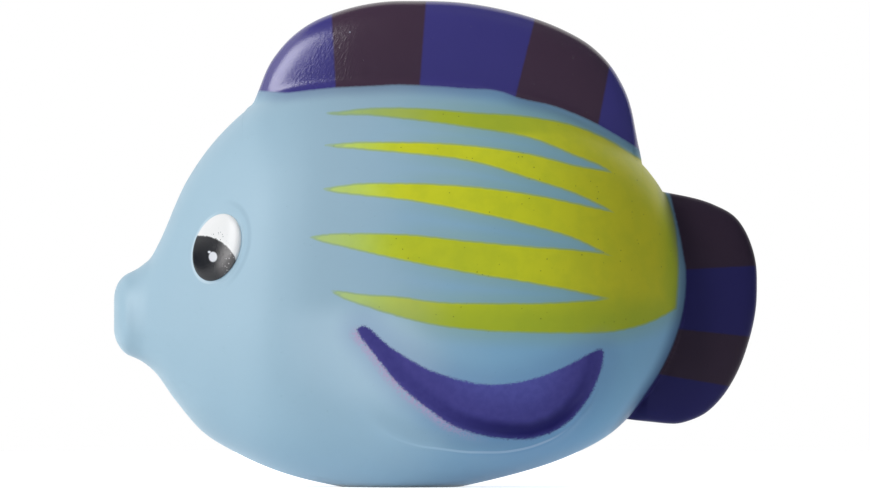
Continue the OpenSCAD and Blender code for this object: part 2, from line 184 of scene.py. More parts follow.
# Sharp places along the fish
SHARP_SHARES = [
    0, DORSAL_FROM, .5 + (SQUEAKER_X - LIP_R)/TOY_L, .5 + (SQUEAKER_X + LIP_R)/TOY_L, DORSAL_TO, BODY_END, 1,
]
# Fillet between the back and the dorsal fin
VALLEY_R, VALLEY_SPAN, VALLEY_DROP, VALLEY_STEP = .9, 2.6, .5, .12

# Stage and camera, in metres, with the sensor in millimetres
FLOOR_R, FLOOR_GLOW = .42, .75
BACKDROP_SIZE, BACKDROP_AT = 1.6, (0, .5, .3)
CAMERA_X, CAMERA_Z, CAMERA_FAR, FRAME_W, SENSOR_MM = -.00007, .0339, 2.5, .1218, 36
# Colours of the lamps and of the room
WARM_LAMP, COOL_LAMP, BLUE_LAMP, ROOM = (1, .98, .95), (.92, .97, 1), (.4, .7, 1), (.09, .115, .15, 1)


def hermite(knots, values, place):
    """Smooth curve through values at knots, level where they turn back."""
    runs = np.diff(knots)
    chords = np.diff(values)/runs
    slopes = np.concatenate([chords[:1], np.zeros(len(runs) - 1), chords[-1:]])
    mean = (chords[:-1]*runs[1:] + chords[1:]*runs[:-1])/(runs[1:] + runs[:-1])
    slopes[1:-1] = np.where(chords[:-1]*chords[1:] <= 0, 0, mean)
    i = np.clip(np.searchsorted(knots, place, side="right") - 1, 0, len(runs) - 1)
    t = np.clip((place - knots[i])/runs[i], 0, 1)
    bend = runs[i]*(slopes[i]*t*(1 - t)**2 - slopes[i + 1]*t*t*(1 - t))
    return values[i]*(1 + 2*t)*(1 - t)**2 + values[i + 1]*t*t*(3 - 2*t) + bend


def line(points, place):
    """Smooth curve through a table of places and values."""
    knots, values = np.array(points, float).T
    return hermite(knots, values, np.asarray(place, float))


def eased(place, a, b):
    """Share of the way from a to b, stretched at both ends."""
    return np.arccos(1 - 2*np.clip((place - a)/(b - a), 0, 1))/np.pi


def curve(points, share):
    """As line, on a scale stretched towards both ends, so that an outline can stand upright there."""
    places, values = np.array(points, float).T
    a, b = places[0], places[-1]
    return hermite(eased(places, a, b), values, eased(np.asarray(share, float), a, b))


def bulge(u, power):
    """Height of a rounded arch: 1 in its middle and 0 at its ends, -1 and 1."""
    return np.maximum(0, 1 - np.abs(u)**power)**(1/power)


def smooth_step(low, high, value):
    t = np.clip((value - low)/(high - low), 0, 1)
    return t*t*(3 - 2*t)


def pectoral_relief(x, z):
    """Scoop of the pectoral fin, its flared rim and the step under it."""
    top, rim = line(PECTORAL_TOP, x), line(PECTORAL_RIM, x)
    down = (top - z)/np.maximum(top - rim, PECTORAL_LEAST_H)
    reach = smooth_step(*PECTORAL_FRONT, x)*smooth_step(*PECTORAL_REAR, x)
    return np.where((down > 0) & (down < PECTORAL_END), line(PECTORAL_PROFILE, down), 0)*reach


def eye_round(x, z):
    """Distance from the middle of the eye in its own oval measure: 1 on its rim."""
    across = (x - EYE_X)*math.cos(EYE_TILT) - (z - EYE_Z)*math.sin(EYE_TILT)
    along = (x - EYE_X)*math.sin(EYE_TILT) + (z - EYE_Z)*math.cos(EYE_TILT)
    return np.hypot(across/(EYE_W/2), along/(EYE_L/2))


def eye_socket(x, z):
    """Groove round the back of the eye: 1 where it is deepest."""
    groove = np.exp(-((eye_round(x, z) - SOCKET_AT)/SOCKET_SPAN)**2)
    return groove*smooth_step(EYE_X - SOCKET_FADE, EYE_X + SOCKET_FADE, x)


def body_half(share, z):
    low, high = TOY_H*curve(BODY_BOTTOM, share), TOY_H*curve(BODY_TOP, share)
    u = (z - (low + high)/2)/((high - low)/2)
    return TOY_W/2*curve(BODY_WIDTH, share)*bulge(u, np.where(u > 0, UPPER_POWER, LOWER_POWER))


def dorsal_half(share, z):
    top = TOY_H*curve(DORSAL_EDGE, share)
    middle = TOY_H*curve(BODY_TOP, share) - DORSAL_T/2
    centre = (DORSAL_FROM + DORSAL_TO)/2
    thick = DORSAL_T/2*bulge((share - centre)/(DORSAL_TO - centre), DORSAL_END_POWER)
    return thick*bulge((z - middle)/(top - middle), FIN_POWER)


def tail_half(share, z):
    low, high = TOY_H*curve(TAIL_BOTTOM, share), TOY_H*curve(TAIL_TOP, share)
    fade = np.minimum(1, (share - TAIL_FROM)/TAIL_FADE)
    thick = TAIL_T/2*fade*bulge((share - TAIL_FROM)/(1 - TAIL_FROM), FIN_POWER)
    return thick*bulge((z - (low + high)/2)/((high - low)/2), FIN_POWER)


def half_width(share, z):
    """Half the fish's width at shares of its length, without its relief."""
    body = np.where(share <= BODY_END, body_half(share, z), 0)
    dorsal = np.where((share > DORSAL_FROM) & (share < DORSAL_TO), dorsal_half(share, z), 0)
    tail = np.where(share > TAIL_FROM, tail_half(share, z), 0)
    return (body**BLEND_POWER + dorsal**BLEND_POWER + tail**BLEND_POWER)**(1/BLEND_POWER)


def ring_shares():
    """Places of the rings as shares of the length, crowded where the form turns sharply."""
    places = []
    for a, b in zip(SHARP_SHARES[:-1], SHARP_SHARES[1:]):
        fine = np.linspace(a, b, STRETCH_POINTS)
        from_end = np.minimum(fine - a, b - fine)*TOY_L
        rate = 1/np.minimum(RING_STEP, RING_STEP_SHARP + RING_GROWTH*from_end)
        count = np.concatenate([[0], np.cumsum((rate[1:] + rate[:-1])/2*np.diff(fine))])*TOY_L
        steps = math.ceil(count[-1])
        places.append(np.interp(np.arange(steps)*count[-1]/steps, count, fine))
    return np.concatenate(places + [[1.0]])


def run_lengths(wide, z):
    """Length of a ring from its start to each of its points."""
    return np.concatenate([[0], np.cumsum(np.hypot(np.diff(wide), np.diff(z)))])


def rounded_valley(wide, z, height):
    """A ring with the sharp valley at the given height eased into a fillet."""
    length = run_lengths(wide, z)
    even = np.linspace(0, length[-1], math.ceil(length[-1]/VALLEY_STEP) + 1)
    wide, z = np.interp(even, length, wide), np.interp(even, length, z)
    reach = np.arange(-3*VALLEY_R, 3*VALLEY_R + VALLEY_STEP, VALLEY_STEP)
    weights = np.exp(-.5*(reach/VALLEY_R)**2)
    weights /= weights.sum()
    share = np.exp(-((z - height)/VALLEY_SPAN)**2)*smooth_step(0, 3*VALLEY_R, even[-1] - even)
    margin = len(weights)//2

    def eased_run(values):
        smooth = np.convolve(np.pad(values, margin, mode="edge"), weights, mode="valid")
        return values + share*(smooth[:len(values)] - values)

    return eased_run(wide), eased_run(z)


def ring_row(share):
    """One ring of a flank from belly to back, in even steps: half widths and heights."""
    x = TOY_L*(share - .5)
    lows, highs = [], []
    if share <= BODY_END:
        lows.append(curve(BODY_BOTTOM, share))
        highs.append(curve(BODY_TOP, share))
    if DORSAL_FROM < share < DORSAL_TO:
        highs.append(curve(DORSAL_EDGE, share))
    if share > TAIL_FROM:
        lows.append(curve(TAIL_BOTTOM, share))
        highs.append(curve(TAIL_TOP, share))
    low, high = TOY_H*min(lows), TOY_H*max(highs)
    z = low + (high - low)*(1 - np.cos(np.linspace(0, np.pi, RING_POINTS)))/2
    wide = half_width(share, z)
    wide[[0, -1]] = 0
    along = np.full_like(z, x)
    wide = wide + pectoral_relief(along, z) - SOCKET_DEPTH*eye_socket(along, z)
    if DORSAL_FROM < share < DORSAL_TO:
        wide, z = rounded_valley(wide, z, TOY_H*curve(BODY_TOP, share) - VALLEY_DROP)
    z = np.maximum(z, 0)
    length = run_lengths(wide, z)
    hole = math.sqrt(max(0, LIP_R**2 - (x - SQUEAKER_X)**2))
    start = np.interp(hole, wide[:BELLY_POINTS], length[:BELLY_POINTS]) if hole > 0 else 0
    share_up = np.linspace(0, 1, ROWS + 1)
    from_hole = start + (HOLE_ROWS*length[-1] - start)*share_up/HOLE_ROWS
    place = np.where(share_up < HOLE_ROWS, from_hole, share_up*length[-1])
    return np.interp(place, length, wide), np.interp(place, length, z)


def off_line(a, b, x, z):
    """Distance of points from the straight line between a and b."""
    dx, dz = b[0] - a[0], b[1] - a[1]
    t = np.clip(((x - a[0])*dx + (z - a[1])*dz)/max(dx*dx + dz*dz, TINY), 0, 1)
    return np.hypot(x - a[0] - t*dx, z - a[1] - t*dz)


def outside_by(outline, x, z):
    """Distance of points from a closed outline, negative inside it."""
    nearest = np.full(len(x), FAR_OFF)
    inside = np.zeros(len(x), bool)
    for a, b in zip(outline, outline[1:] + outline[:1]):
        nearest = np.minimum(nearest, off_line(a, b, x, z))
        if a[1] != b[1]:
            crossing = a[0] + (z - a[1])/(b[1] - a[1])*(b[0] - a[0])
            inside ^= ((a[1] > z) != (b[1] > z)) & (x < crossing)
    return np.where(inside, -nearest, nearest)


def rounded(outline, times=2):
    """Closed outline with its corners cut off again and again."""
    for _ in range(times):
        following = outline[1:] + outline[:1]
        outline = [
            (a[0]*(1 - k) + b[0]*k, a[1]*(1 - k) + b[1]*k)
            for a, b in zip(outline, following) for k in (.25, .75)
        ]
    return outline


def flame_coat(x, z):
    """Distance from the nearest flame, negative on it. Behind the rear line there is none."""
    best = np.full(len(x), FAR_OFF)
    for flame in FLAMES:
        places = np.linspace(flame[0][0], flame[-1][0], FLAME_POINTS)
        upper = line([(a, b) for a, b, c in flame], places)
        lower = line([(a, c) for a, b, c in flame], places)
        outline = list(zip(places, upper)) + list(zip(places, lower))[::-1]
        best = np.minimum(best, outside_by(outline, x, z))
    return np.maximum(best, x - line(FLAME_REAR, z))


def fin_coat(x, z):
    """Distance from the coats of the dorsal fin and the tail, negative on them."""
    on_back = (x > DORSAL_COAT[0][0]) & (x < TAIL_COAT_FROM)
    dorsal = np.where(on_back, line(DORSAL_COAT, x) - z, NO_COAT)
    tail = np.where(z < TAIL_COAT[-1][0], line(TAIL_COAT, z) - x, NO_COAT)
    return np.minimum(dorsal, tail)


def between(bands, x, z, upright):
    """Distance from the nearest band, negative inside it."""
    best = np.full(len(x), FAR_OFF)
    for (a, b), (c, d) in bands:
        if upright:
            first = x - (a[0] + (z - a[1])*(b[0] - a[0])/(b[1] - a[1]))
            second = x - (c[0] + (z - c[1])*(d[0] - c[0])/(d[1] - c[1]))
            best = np.minimum(best, np.maximum(-first, second))
        else:
            first = z - (a[1] + (x - a[0])*(b[1] - a[1])/(b[0] - a[0]))
            second = z - (c[1] + (x - c[0])*(d[1] - c[1])/(d[0] - c[0]))
            best = np.minimum(best, np.maximum(first, -second))
    return best


def dark_coat(x, z):
    """Distance from the dark bands on the fins, negative inside them."""
    on_back, on_tail = between(DORSAL_BANDS, x, z, True), between(TAIL_BANDS, x, z, False)
    return np.where(x < TAIL_COAT_FROM, on_back, on_tail)


def crescent_coat(x, z):
    """Distance from the crescent, negative inside it."""
    return outside_by(rounded(CRESCENT_TOP + CRESCENT_BOTTOM), x, z)


def crescent_fringe(x, z):
    """Distance from the lower edge of the crescent."""
    lines = zip(CRESCENT_BOTTOM[:-1], CRESCENT_BOTTOM[1:])
    return np.min([off_line(a, b, x, z) for a, b in lines], axis=0)


def scoop_coat(x, z):
    """Distance from the outline of the scooped pectoral fin."""
    places = np.linspace(PECTORAL_TOP[0][0], PECTORAL_TOP[-1][0], SCOOP_POINTS)
    upper, rim = line(PECTORAL_TOP, places), line(PECTORAL_RIM, places)
    return outside_by(list(zip(places, upper)) + list(zip(places, rim))[::-1], x, z)


# Numbers that the skin keeps for its paint
PAINTED = {
    "flame_mm": flame_coat, "fin_mm": fin_coat, "dark_mm": dark_coat,
    "crescent_mm": crescent_coat, "fringe_mm": crescent_fringe, "scoop_mm": scoop_coat,
    "eye_round": eye_round,
}


def select_only(obj):
    bpy.ops.object.select_all(action="DESELECT")
    obj.select_set(True)
    bpy.context.view_layer.objects.active = obj


def set_points(obj, points):
    obj.data.vertices.foreach_set("co", np.asarray(points, np.float32).ravel())
    obj.data.update()


def points_of(obj):
    flat = np.zeros(3*len(obj.data.vertices), np.float32)
    obj.data.vertices.foreach_get("co", flat)
    return flat.reshape(-1, 3).astype(float)


def keep_number(obj, name, values):
    """Stores a number for each point of a mesh, for its material to read."""
    obj.data.attributes.new(name, "FLOAT", "POINT").data.foreach_set("value", np.asarray(values, np.float32))


def face_outwards(obj, outward):
    """Turns the whole mesh round if its faces point away from the outward direction on average."""
    normals = np.zeros(3*len(obj.data.polygons), np.float32)
    obj.data.polygons.foreach_get("normal", normals)
    if normals.reshape(-1, 3).mean(axis=0) @ np.array(outward) < 0:
        obj.data.flip_normals()


def level_seam(obj):
    """Points on the middle plane shade as if the other half went on from them."""
    normals = np.zeros(3*len(obj.data.vertices), np.float32)
    obj.data.vertices.foreach_get("normal", normals)
    normals = normals.reshape(-1, 3)
    on_seam = np.abs(points_of(obj)[:, 1]) < SEAM_NEAR
    normals[on_seam, 1] = 0
    normals /= np.maximum(np.linalg.norm(normals, axis=1, keepdims=True), TINY)
    obj.data.normals_split_custom_set_from_vertices(normals)


def skin_half(name, side, rings, rows):
    """One half of the vinyl skin: a sheet with rings along the fish and rows up its flank."""
    bpy.ops.object.select_all(action="DESELECT")
    bpy.ops.mesh.primitive_grid_add(x_subdivisions=len(rings) - 1, y_subdivisions=ROWS, size=2)
    half = bpy.context.object
    half.name = name
    start = points_of(half)
    i = np.rint((start[:, 0] + 1)/2*(len(rings) - 1)).astype(int)
    j = np.rint((start[:, 1] + 1)/2*ROWS).astype(int)
    x = TOY_L*(rings[i] - .5)
    wide, z = rows[i, j, 0], rows[i, j, 1]
    ends = (i == 0) | (i == len(rings) - 1)
    wide = np.where(ends, 0, wide)
    set_points(half, np.stack([x, side*wide, z], axis=1)*MM)
    face_outwards(half, (0, side, 0))
    bpy.ops.object.shade_smooth()
    for kind, coat in PAINTED.items():
        keep_number(half, kind, coat(x, z))
    level_seam(half)
    return half


def eye_dome(name, side):
    """Raised oval eye that lies on the curve of the head."""
    bpy.ops.object.select_all(action="DESELECT")
    bpy.ops.mesh.primitive_uv_sphere_add(segments=96, ring_count=64, radius=1)
    dome = bpy.context.object
    dome.name = name
    start = points_of(dome)
    across, along = start[:, 0]*EYE_W/2, start[:, 1]*EYE_L/2
    x = EYE_X + across*math.cos(EYE_TILT) + along*math.sin(EYE_TILT)
    z = EYE_Z - across*math.sin(EYE_TILT) + along*math.cos(EYE_TILT)
    step = EYE_SLOPE_STEP
    base = half_width(.5 + x/TOY_L, z)
    slope_x = (half_width(.5 + (x + step)/TOY_L, z) - base)/step
    slope_z = (half_width(.5 + x/TOY_L, z + step) - base)/step
    out = np.stack([-slope_x, np.ones_like(x), -slope_z], axis=1)
    out /= np.linalg.norm(out, axis=1, keepdims=True)
    radius = np.hypot(start[:, 0], start[:, 1])
    crown = EYE_LIFT*bulge(radius, EYE_CROWN_POWER)*(1 + EYE_LEAN*start[:, 0])
    lift = np.where(start[:, 2] >= 0, crown, -EYE_ROOT*bulge(radius, EYE_ROOT_POWER))
    points = np.stack([x, base, z], axis=1) + out*lift[:, None]
    points[:, 1] *= side
    set_points(dome, points*MM)
    select_only(dome)
    bpy.ops.object.mode_set(mode="EDIT")
    bpy.ops.mesh.select_all(action="SELECT")
    bpy.ops.mesh.normals_make_consistent(inside=False)
    bpy.ops.object.mode_set(mode="OBJECT")
    bpy.ops.object.shade_smooth()
    return dome


def squeaker_seat():
    """Rounded lip, wall and ledge of the hole in the belly that the squeaker sits in."""
    bpy.ops.object.select_all(action="DESELECT")
    bpy.ops.mesh.primitive_circle_add(vertices=128, radius=LIP_R*MM, location=(SQUEAKER_X*MM, 0, 0))
    seat = bpy.context.object
    seat.name = "squeaker_seat"
    bpy.ops.object.transform_apply(location=True, rotation=True, scale=True)
    bpy.ops.object.mode_set(mode="EDIT")
    bpy.ops.mesh.select_all(action="SELECT")
    radius, height = LIP_R, 0
    for next_radius, next_height in SEAT_PROFILE:
        bpy.ops.mesh.extrude_edges_move(TRANSFORM_OT_translate={"value": (0, 0, (next_height - height)*MM)})
        ratio = next_radius/radius
        bpy.ops.transform.resize(value=(ratio, ratio, 1), center_override=(SQUEAKER_X*MM, 0, next_height*MM))
        radius, height = next_radius, next_height
    bpy.ops.mesh.select_all(action="SELECT")
    bpy.ops.mesh.normals_make_consistent(inside=True)
    bpy.ops.object.mode_set(mode="OBJECT")
    bpy.ops.object.shade_smooth_by_angle(angle=math.radians(40))
    return seat


def srgb(*levels):
    """Screen colour of 0 to 255 as the linear colour that materials take."""
    linear = [c/255/12.92 if c <= 10 else ((c/255 + .055)/1.055)**2.4 for c in levels]
    return (*linear, 1)


class Nodes:
    """Short words for building a material's nodes."""

    def __init__(self, name):
        self.material = bpy.data.materials.new(name)
        self.material.use_nodes = True
        self.tree = self.material.node_tree
        self.shader = self.tree.nodes["Principled BSDF"]
        self.place = self.tree.nodes.new("ShaderNodeTexCoord").outputs["Object"]

    def join(self, value, socket):
        if isinstance(value, bpy.types.NodeSocket):
            self.tree.links.new(value, socket)
        else:
            socket.default_value = value

    def math(self, operation, *values):
        node = self.tree.nodes.new("ShaderNodeMath")
        node.operation = operation
        for value, socket in zip(values, node.inputs):
            self.join(value, socket)
        return node.outputs[0]

    def times(self, product, *values):
        for value in values:
            product = self.math("MULTIPLY", product, value)
        return product

    def most(self, largest, *values):
        for value in values:
            largest = self.math("MAXIMUM", largest, value)
        return largest

    def ramp(self, value, low, high, to_low=0.0, to_high=1.0):
        node = self.tree.nodes.new("ShaderNodeMapRange")
        node.interpolation_type = "SMOOTHSTEP"
        for socket, number in zip(node.inputs[1:5], (low, high, to_low, to_high)):
            socket.default_value = number
        self.join(value, node.inputs[0])
        return node.outputs[0]

    def mix(self, share, a, b):
        node = self.tree.nodes.new("ShaderNodeMix")
        node.data_type = "RGBA"
        self.join(share, node.inputs[0])
        self.join(a, node.inputs[6])
        self.join(b, node.inputs[7])
        return node.outputs[2]

    def number(self, attribute):
        node = self.tree.nodes.new("ShaderNodeAttribute")
        node.attribute_name = attribute
        return node.outputs["Fac"]

    def moved(self, scale, turn):
        """Places turned and then stretched, for streaks."""
        node = self.tree.nodes.new("ShaderNodeMapping")
        node.vector_type = "TEXTURE"
        node.inputs["Scale"].default_value = scale
        node.inputs["Rotation"].default_value = turn
        self.join(self.place, node.inputs["Vector"])
        return node.outputs[0]

    def noise(self, size_mm, detail=2.0, place=None):
        node = self.tree.nodes.new("ShaderNodeTexNoise")
        node.inputs["Scale"].default_value = 1/(size_mm*MM)
        node.inputs["Detail"].default_value = detail
        self.join(place or self.place, node.inputs["Vector"])
        return node.outputs["Fac"]

    def specks(self, cell_mm, radius_share, chance):
        """Small round specks, one in some of the cells."""
        node = self.tree.nodes.new("ShaderNodeTexVoronoi")
        node.inputs["Scale"].default_value = 1/(cell_mm*MM)
        self.join(self.place, node.inputs["Vector"])
        split = self.tree.nodes.new("ShaderNodeSeparateColor")
        self.join(node.outputs["Color"], split.inputs[0])
        near = self.ramp(node.outputs["Distance"], radius_share, radius_share*.6)
        return self.times(near, self.math("LESS_THAN", split.outputs[0], chance))

    def axes(self):
        node = self.tree.nodes.new("ShaderNodeSeparateXYZ")
        self.join(self.place, node.inputs[0])
        return node.outputs

    def coat(self, distance, soft, wander, grain_mm):
        """Cover of a sprayed coat: 1 inside its edge, with a soft and slightly uneven border."""
        shift = self.times(self.math("SUBTRACT", self.noise(grain_mm), .5), wander)
        return self.ramp(self.math("ADD", distance, shift), soft, -soft)

    def facing(self):
        """1 on the front of a sheet and 0 on its back."""
        return self.math("SUBTRACT", 1.0, self.tree.nodes.new("ShaderNodeNewGeometry").outputs["Backfacing"])

    def open_from_behind(self, shown, share):
        clear = self.tree.nodes.new("ShaderNodeBsdfTransparent")
        mix = self.tree.nodes.new("ShaderNodeMixShader")
        self.join(share, mix.inputs[0])
        self.join(clear.outputs[0], mix.inputs[1])
        self.join(shown, mix.inputs[2])
        self.join(mix.outputs[0], self.tree.nodes["Material Output"].inputs["Surface"])

    def bump(self, height, depth_mm, under=None):
        node = self.tree.nodes.new("ShaderNodeBump")
        node.inputs["Strength"].default_value = 1
        node.inputs["Distance"].default_value = depth_mm*MM
        self.join(height, node.inputs["Height"])
        if under is not None:
            self.join(under, node.inputs["Normal"])
        return node.outputs[0]


# Colours of the vinyl
# Painted light and shade: the head paler and greyer as if lit, the rear deeper blue as if shaded
HEAD_BLUE_LIT, REAR_BLUE_SHADED = srgb(167, 197, 213), srgb(142, 189, 219)
# Painted light: a paler belly for light from below, and a paler patch in front of the pectoral fin
BELLY_PAINTED_LIGHT, BLOOM_PAINTED_LIGHT = srgb(196, 222, 238), srgb(188, 215, 230)
BARE_DEEP, BARE_PALE = srgb(150, 182, 203), srgb(166, 197, 216)
# Colours of the sprayed coats
FLAME_LIME, FLAME_YELLOW = srgb(218, 236, 66), srgb(224, 226, 48)
FLAME_OLIVE, FLAME_GREEN = srgb(215, 208, 50), srgb(156, 180, 54)
FLAME_BORDER, PINHOLE_DARK = srgb(146, 172, 84), srgb(104, 112, 32)
# The mist under the dorsal fin is overspray and also painted shade in the valley below it
FIN_BLUE, FIN_PLUM, FIN_MIST_AND_SHADE = srgb(67, 60, 134), srgb(73, 50, 68), srgb(62, 70, 130)
# Painted shade: the tail's coats are darker copies of the dorsal fin's
TAIL_BLUE_SHADED, TAIL_PLUM_SHADED, TAIL_MIST_SHADED = srgb(46, 43, 95), srgb(58, 45, 59), srgb(44, 48, 104)
FIN_SPECK = srgb(196, 196, 216)
# The deeper blue and the dark band near the crescent's lower edge are painted shade; the dark mottling
# elsewhere is uneven paint
CRESCENT_BLUE, CRESCENT_SHADE_BLUE, CRESCENT_DARK = srgb(96, 95, 174), srgb(84, 79, 153), srgb(36, 32, 100)
# The pale rim colour is a painted highlight
CRESCENT_HAZE, FRINGE_LILAC, RIM_PAINTED_HIGHLIGHT = srgb(96, 118, 176), srgb(196, 176, 210), srgb(206, 230, 246)
# Colours of the eye and round it
# The grey for the black is a painted sheen
EYE_WHITE, EYE_BLACK, EYE_SHEEN_GREY = srgb(243, 242, 240), srgb(23, 24, 29), srgb(122, 117, 116)
# The light speck colour on the black is partly specks, partly painted sheen
EYE_CRUMB, EYE_SPECKS_AND_SHEEN, EYE_DOT = srgb(74, 75, 82), srgb(176, 172, 170), srgb(228, 229, 234)
# Round the eye: a painted highlight on its rim and painted shade in the groove behind it
EYE_RIM_HIGHLIGHT, EYE_SHADE = srgb(214, 230, 240), srgb(96, 132, 158)
# Colours of the squeaker and of the paper floor
SQUEAKER_PALE, SQUEAKER_DEEP = srgb(238, 238, 233), srgb(226, 226, 219)
FILM_PALE, FILM_DEEP = srgb(214, 176, 104), srgb(190, 148, 78)
FLOOR_DEEP, FLOOR_PALE = srgb(240, 240, 240), srgb(246, 246, 246)

# Stretches over which a coat or colour fades in, in metres along the fish or up it
TAIL_ALONG, TAIL_UP = (.022, .026), (.0445, .0435)
REAR_ALONG, BELLY_UP = (-.015, .018), (.007, .001)
BLOOM_ALONG, BLOOM_TOP, BLOOM_FOOT = (.004, -.004), (.0275, .0225), (.009, .015)
MIST_ALONG, TIPS_ALONG = (-.010, .006), (-.0170, -.005)
LIME_ALONG, OLIVE_ALONG = (-.0120, -.003), (.010, .028)
GREEN_UP, GREEN_ALONG = (.029, .023), (.0305, .0335)
TOP_FLAME_UP, TOP_FLAME_ALONG, TOP_TIP_ALONG = (.0487, .0500), (.024, .006), (.004, -.008)
FOURTH_FLAME_UP, FOURTH_FLAME_ALONG = (.0380, .0350), (.014, .004)
LOW_FLAME_UP, LOW_FLAME_ALONG = (.0290, .0280), (.006, -.006)
RIM_FRONT, RIM_REAR, LILAC_ALONG = (-.009, .006), (.0205, .0145), (.008, .001)
SHADE_BAND_FRONT, SHADE_BAND_REAR = (-.003, .012), (.0235, .0165)
EYE_RIM_HIGHLIGHT_ALONG, EYE_SHADE_ALONG = (-.0295, -.0325), (-.0300, -.0270)
SHEEN_ALONG, STREAKS_ALONG, STREAKS_INWARD = (-.028, -.021), (-.009, -.013), (-.0486, -.0470)
# Direction inwards from the front edge of the dorsal fin, and the streaks' stretch and turn there
FRONT_INWARD, STREAK_STRETCH, STREAK_TURN = (.83, -.55), (.45, 1, 1.5), (0, math.radians(30), 0)

# Spots on the eye, in millimetres: middle along and up, half length, half height, softness of the edge
PUPIL = (-32.72, 29.82, 5.31, 5.31, .018)
DOT, FLECK = (-30.98, 32.18, .58, .7, .14), (-31.5, 32.85, .2, .16, .3)
# Zones on the black: of light specks that are partly painted sheen, and below, of the painted grey sheen
CRUMB_ZONE, SPECKS_AND_SHEEN_ZONE = (-30.6, 34.1, 1.5, 1.7, .45), (-28.4, 31.0, 1.0, 2.6, .5)
SHEEN_GREY_ZONE = (-28.9, 31.6, 1.3, 2.4, .6)


def eye_surround(n, skin, along):
    """Painted highlight on the rim round the front of the eye, and painted shade in the groove round its
    back.
    """
    away = n.number("eye_round")

    def ring(at, wide, narrow):
        return n.ramp(n.math("ABSOLUTE", n.math("SUBTRACT", away, at)), wide, narrow)

    # Painted highlight at the front of the eye's rim, painted shade in the groove behind it
    edge = n.times(ring(1.05, .07, .01), n.ramp(along, *EYE_RIM_HIGHLIGHT_ALONG, 0.0, .6))
    shade = n.times(ring(1.34, .12, .02), n.ramp(along, *EYE_SHADE_ALONG, 0.0, .16))
    return n.mix(shade, n.mix(edge, skin, EYE_RIM_HIGHLIGHT), EYE_SHADE)


def painted_light_patch(n, skin, along, up):
    """Painted light: paler vinyl in front of the pectoral fin and under it, where the flank swells and
    catches more light.
    """
    near = n.times(n.ramp(n.number("fringe_mm"), 13.0, 2.0, 0.0, .95), n.ramp(along, *BLOOM_ALONG))
    bloom = n.times(near, n.ramp(up, *BLOOM_TOP), n.ramp(up, *BLOOM_FOOT, .3, 1.0))
    return n.mix(bloom, skin, BLOOM_PAINTED_LIGHT)


def sprayed_flames(n, skin, along, up):
    """Yellow flames: thin at their tips, olive at the rear, greener low down, with pinholes and a mist."""
    distance = n.number("flame_mm")
    mist = n.times(n.ramp(distance, 3.0, 0.0, 0.0, .24), n.ramp(along, *MIST_ALONG))
    skin = n.mix(mist, skin, FLAME_GREEN)
    coat = n.coat(distance, .25, .2, 1.1)
    border = n.times(coat, n.math("SUBTRACT", 1.0, coat), 1.5)
    top_flame = n.times(n.ramp(up, *TOP_FLAME_UP), n.ramp(along, *TOP_FLAME_ALONG))
    fourth_flame = n.times(n.ramp(up, *FOURTH_FLAME_UP), n.ramp(along, *FOURTH_FLAME_ALONG))
    low_flame = n.times(n.ramp(up, *LOW_FLAME_UP), n.ramp(along, *LOW_FLAME_ALONG))
    thin = n.most(n.times(top_flame, n.ramp(along, *TOP_TIP_ALONG)), low_flame)
    cover = n.times(coat, n.ramp(along, *TIPS_ALONG, .7, 1.0), n.ramp(thin, 0, 1, 1.0, .86))
    yellow = n.mix(n.ramp(along, *LIME_ALONG), FLAME_LIME, FLAME_YELLOW)
    yellow = n.mix(n.ramp(along, *OLIVE_ALONG), yellow, FLAME_OLIVE)
    greener = n.most(n.ramp(up, *GREEN_UP, 0.0, .6), n.ramp(along, *GREEN_ALONG, 0.0, .6))
    greener = n.most(greener, n.times(fourth_flame, .26), n.times(top_flame, .62))
    yellow = n.mix(greener, yellow, FLAME_GREEN)
    yellow = n.mix(n.ramp(n.noise(2.4, 4), .35, .7, 0.0, .14), yellow, FLAME_GREEN)
    pinholes = n.times(n.specks(.8, .13, .45), n.ramp(n.noise(5, 2), .43, .55))
    yellow = n.mix(n.times(pinholes, .8), yellow, PINHOLE_DARK)
    return n.mix(border, n.mix(cover, skin, yellow), FLAME_BORDER), pinholes


def sprayed_crescent(n, under, along):
    """Stippled blue crescent on the pectoral fin, with a lilac fringe, painted shade towards its lower edge,
    and a painted highlight along the rim below it.
    """
    distance, fringe = n.number("crescent_mm"), n.number("fringe_mm")
    # Painted highlight: a pale line along the flared rim of the scoop, below the crescent
    rim = n.ramp(n.math("ABSOLUTE", n.number("scoop_mm")), .24, .06)
    rim = n.times(rim, n.ramp(distance, .35, .9), n.ramp(along, *RIM_FRONT), n.ramp(along, *RIM_REAR), .8)
    under = n.mix(rim, under, RIM_PAINTED_HIGHLIGHT)
    under = n.mix(n.ramp(distance, 4.0, 0.0, 0.0, .24), under, CRESCENT_HAZE)
    stipple = n.ramp(n.noise(.3, 3), .4, .55, .1, .95)
    lilac = n.times(n.ramp(fringe, 1.5, .2), n.ramp(along, *LILAC_ALONG), stipple)
    under = n.mix(lilac, under, FRINGE_LILAC)
    # Painted shade: the crescent turns deeper blue towards its lower edge
    paint = n.mix(n.ramp(fringe, 7.5, 3.0), CRESCENT_BLUE, CRESCENT_SHADE_BLUE)
    paint = n.mix(n.ramp(n.noise(.9, 4), .35, .65, 0.0, .12), paint, CRESCENT_DARK)
    # Painted shade: a dark band along the lower edge of the crescent, fading towards its ends
    lengthwise = n.times(n.ramp(along, *SHADE_BAND_FRONT, .3, 1.0), n.ramp(along, *SHADE_BAND_REAR, .2, 1.0))
    band = n.times(n.ramp(fringe, 3.0, 1.5), lengthwise, n.ramp(fringe, .1, .9, .45, 1.0))
    paint = n.mix(band, paint, CRESCENT_DARK)
    cover = n.coat(distance, .2, .95, .17)
    return n.mix(cover, under, paint), cover


